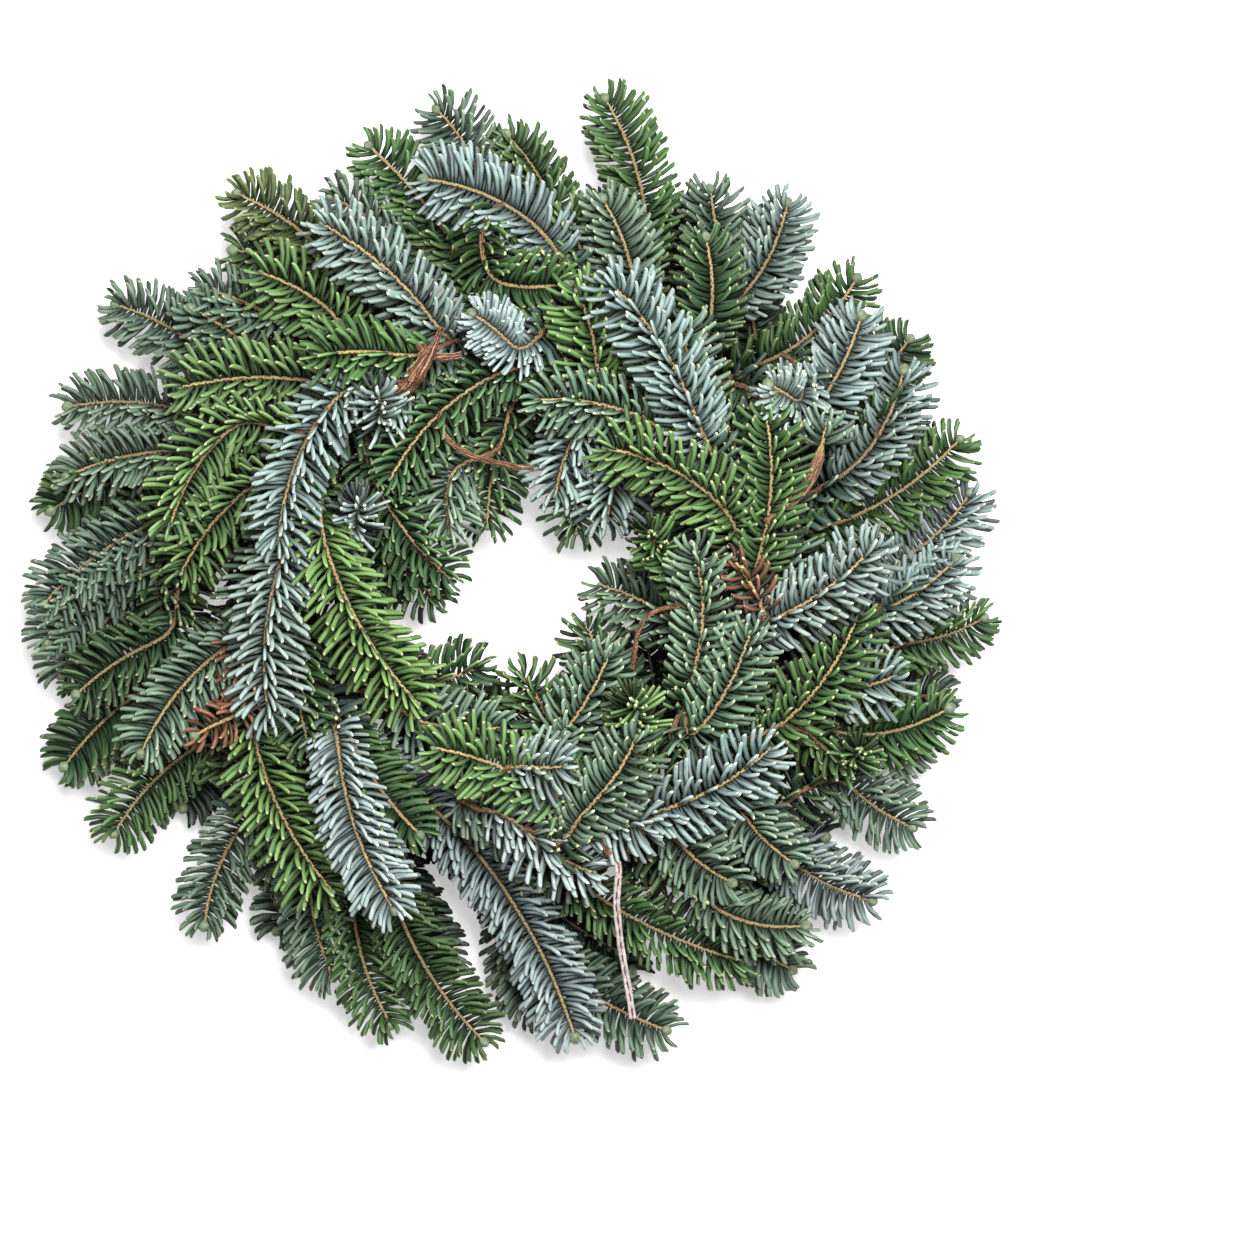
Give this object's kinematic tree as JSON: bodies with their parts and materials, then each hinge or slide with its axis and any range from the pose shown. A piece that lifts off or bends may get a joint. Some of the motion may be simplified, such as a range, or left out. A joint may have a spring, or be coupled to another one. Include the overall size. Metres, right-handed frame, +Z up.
{
  "type": "noble fir wreath",
  "caption": "Round wreath of forked noble fir sprays, all sweeping one way round an open middle, lying flat, with a short pale tie cord at its lower edge.",
  "frame": {"origin": "middle of the foliage on the floor it lies on, at the lowest point", "axes": "+Z up through the hole, out of the upper face; +Y towards the top of the picture, so the tie cord is on the -Y side"},
  "size_m": [0.2828, 0.2828, 0.0677],
  "materials": {
    "foliage_blue": "waxy needles",
    "foliage_pale": "waxy needles",
    "foliage_green": "waxy needles",
    "foliage_bright": "waxy needles",
    "foliage_teal": "waxy needles",
    "foliage_dark": "waxy needles",
    "foliage_grey": "waxy needles",
    "foliage_olive": "waxy needles",
    "bark": "rough bark",
    "twine": "twisted cotton cord"
  },
  "bodies": {
    "root": {"hanging_twine": "twine", "inner_spray_01": "foliage_dark", "inner_spray_02": "foliage_dark", "inner_spray_03": "foliage_dark", "inner_spray_04": "foliage_teal", "inner_spray_05": "foliage_dark", "inner_spray_06": "foliage_dark", "outer_spray_01": "foliage_green", "outer_spray_02": "foliage_green", "outer_spray_03": "foliage_blue", "outer_spray_04": "foliage_green", "outer_spray_05": "foliage_olive", "outer_spray_06": "foliage_teal", "outer_spray_07": "foliage_grey", "outer_spray_08": "foliage_teal", "outer_spray_09": "foliage_teal", "outer_spray_10": "foliage_grey", "outer_spray_11": "foliage_teal", "outer_spray_12": "foliage_green", "outer_spray_13": "foliage_pale", "outer_spray_14": "foliage_green", "outer_spray_15": "foliage_grey", "outer_spray_16": "foliage_blue", "outer_spray_17": "foliage_green", "outer_spray_18": "foliage_blue", "outer_spray_19": "foliage_green", "outer_spray_20": "foliage_blue", "outer_spray_21": "foliage_green", "outer_spray_22": "foliage_teal", "ring": "bark", "top_spray_01": "foliage_blue", "top_spray_02": "foliage_bright", "top_spray_03": "foliage_blue", "top_spray_04": "foliage_blue", "top_spray_05": "foliage_bright", "top_spray_06": "foliage_bright", "top_spray_07": "foliage_bright", "top_spray_08": "foliage_pale", "top_spray_09": "foliage_blue", "top_spray_10": "foliage_grey", "top_spray_11": "foliage_green", "top_spray_12": "foliage_blue", "top_spray_13": "foliage_green", "top_spray_14": "foliage_blue", "top_spray_15": "foliage_bright", "top_spray_16": "foliage_dark", "top_spray_17": "foliage_teal", "top_spray_18": "foliage_bright", "under_spray_01": "foliage_teal", "under_spray_02": "foliage_teal", "under_spray_03": "foliage_teal", "under_spray_04": "foliage_teal", "under_spray_05": "foliage_teal", "under_spray_06": "foliage_teal", "under_spray_07": "foliage_teal", "under_spray_08": "foliage_teal", "under_spray_09": "foliage_teal", "under_spray_10": "foliage_teal"}
  },
  "joints": []
}
